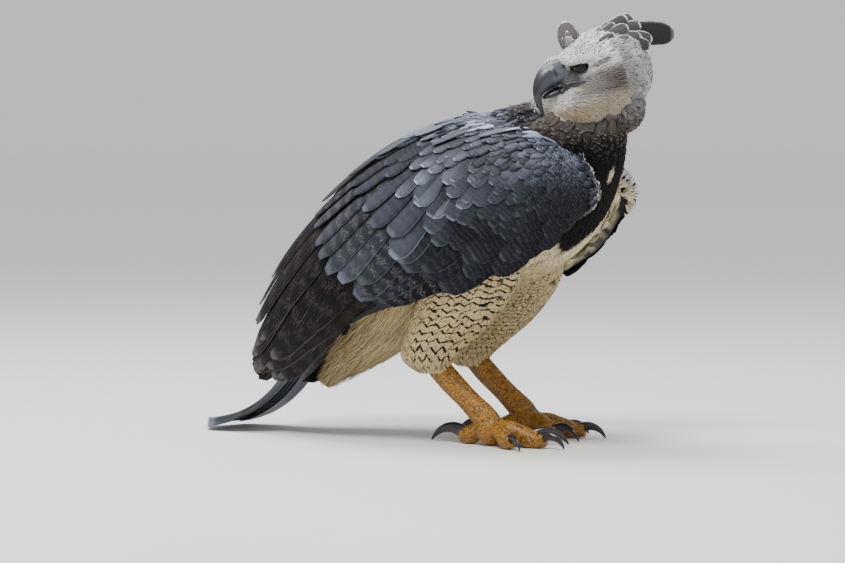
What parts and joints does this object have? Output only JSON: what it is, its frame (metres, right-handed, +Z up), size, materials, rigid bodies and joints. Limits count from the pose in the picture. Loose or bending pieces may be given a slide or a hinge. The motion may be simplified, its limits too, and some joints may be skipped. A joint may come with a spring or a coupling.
{
  "type": "harpy eagle",
  "caption": "Standing adult harpy eagle at life size, wings folded, head turned back over its right shoulder, a still display animal.",
  "frame": {"origin": "middle of the bounding box of the whole bird, at the floor it stands on", "axes": "+X forward where the body faces, +Y to the bird's left, +Z up"},
  "size_m": [0.6976, 0.329, 0.5943],
  "materials": {
    "down": "soft white to cream body feathers, the thighs with fine black chevron bars",
    "hood": "pale grey head feathers, darker at the throat, and a black neck and breast band",
    "slate": "slate black wing feathers with a blue grey sheen and pale edges",
    "barred": "dark tail feathers with grey bars and pale shafts",
    "skin": "orange yellow scaled skin with dark flecks",
    "horn": "black horn of bill and claws with a satin gloss, the bill slate blue at its base",
    "eye": "dark brown eye under a clear wet surface"
  },
  "bodies": {
    "root": {"torso": "down", "neck": "hood", "vent": "down", "head": "hood", "bill_upper": "horn", "bill_lower": "horn", "tail": "barred", "eye_right": "eye", "thigh_right": "down", "tarsus_right": "skin", "foot_right": "skin", "wing_right": "slate", "claw_inner_right": "horn", "claw_middle_right": "horn", "claw_outer_right": "horn", "claw_hind_right": "horn", "eye_left": "eye", "thigh_left": "down", "tarsus_left": "skin", "foot_left": "skin", "wing_left": "slate", "claw_inner_left": "horn", "claw_middle_left": "horn", "claw_outer_left": "horn", "claw_hind_left": "horn"}
  },
  "joints": []
}
